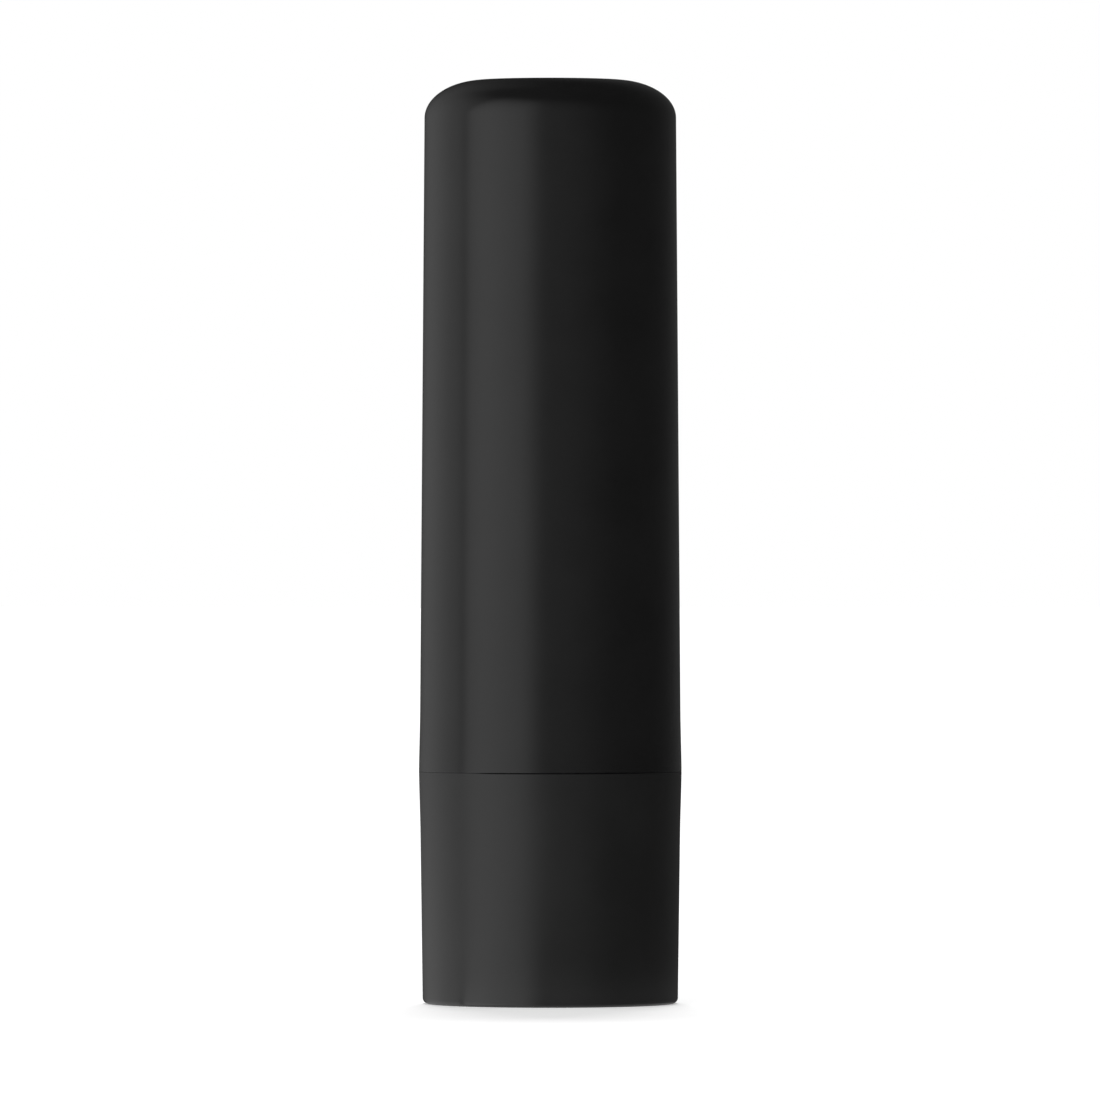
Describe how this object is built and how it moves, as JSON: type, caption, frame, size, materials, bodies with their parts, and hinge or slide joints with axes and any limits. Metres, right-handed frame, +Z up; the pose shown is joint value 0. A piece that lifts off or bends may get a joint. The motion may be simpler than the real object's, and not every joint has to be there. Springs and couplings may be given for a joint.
{
  "type": "lip balm stick",
  "caption": "Twist-up lip balm stick with a tall pull-off cap, a short turning base, and a guide barrel, screw spindle, carrier cup and domed balm inside.",
  "frame": {"origin": "centre of the standing ring under the base, on the surface that the stick stands on", "axes": "+Z up along the stick's axis, from the base to the cap; X and Y lie across it, with one of the barrel's four ribs on +X"},
  "size_m": [0.019, 0.019, 0.0668],
  "materials": {
    "cap_plastic": "satin",
    "base_plastic": "satin",
    "spindle_plastic": "satin",
    "barrel_plastic": "satin",
    "ring_rubber": "matte",
    "carrier_plastic": "satin",
    "balm_wax": "satin"
  },
  "bodies": {
    "base": {"base_shell": "base_plastic", "spindle": "spindle_plastic"},
    "barrel": {"barrel_tube": "barrel_plastic", "friction_ring": "ring_rubber"},
    "carrier": {"carrier_cup": "carrier_plastic", "balm_stick": "balm_wax"},
    "cap": {"cap_shell": "cap_plastic"}
  },
  "joints": [
    {"name": "twist", "type": "hinge", "parent": "base", "child": "barrel", "pos_m": [0, 0, 0], "axis": [0, 0, -1], "range_deg": [0, 2520]},
    {"name": "lift", "type": "slide", "parent": "barrel", "child": "carrier", "axis": [0, 0, 1], "range_m": [0, 0.021]},
    {"name": "cap_pull", "type": "slide", "parent": "barrel", "child": "cap", "axis": [0, 0, 1], "range_m": [0, 0.055]}
  ],
  "couplings": [
    {"joint": "lift", "follows": "twist", "m_per_rad": 0.00047746}
  ]
}
